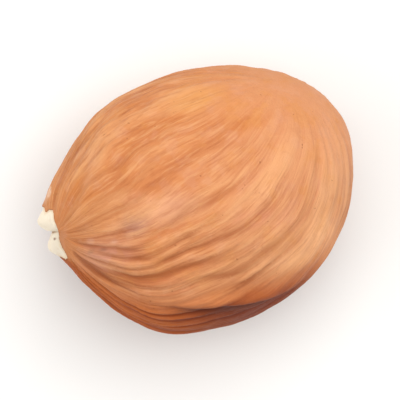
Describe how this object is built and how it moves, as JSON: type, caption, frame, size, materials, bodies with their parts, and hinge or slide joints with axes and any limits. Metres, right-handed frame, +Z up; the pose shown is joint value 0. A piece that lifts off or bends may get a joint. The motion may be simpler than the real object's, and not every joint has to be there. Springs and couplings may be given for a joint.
{
  "type": "hazelnut kernel",
  "caption": "Shelled hazelnut kernel in its brown papery skin, lying on its side on a small flat spot, with the pale seed showing bare at its point.",
  "frame": {"origin": "on the surface the kernel rests on, under the middle of its bounding box", "axes": "+X runs along the kernel from its point to its blunt end, +Y is across it, +Z is up"},
  "size_m": [0.0168, 0.0136, 0.0128],
  "materials": {
    "nut_skin": "matte"
  },
  "bodies": {
    "root": {"hazelnut_kernel": "nut_skin"}
  },
  "joints": []
}
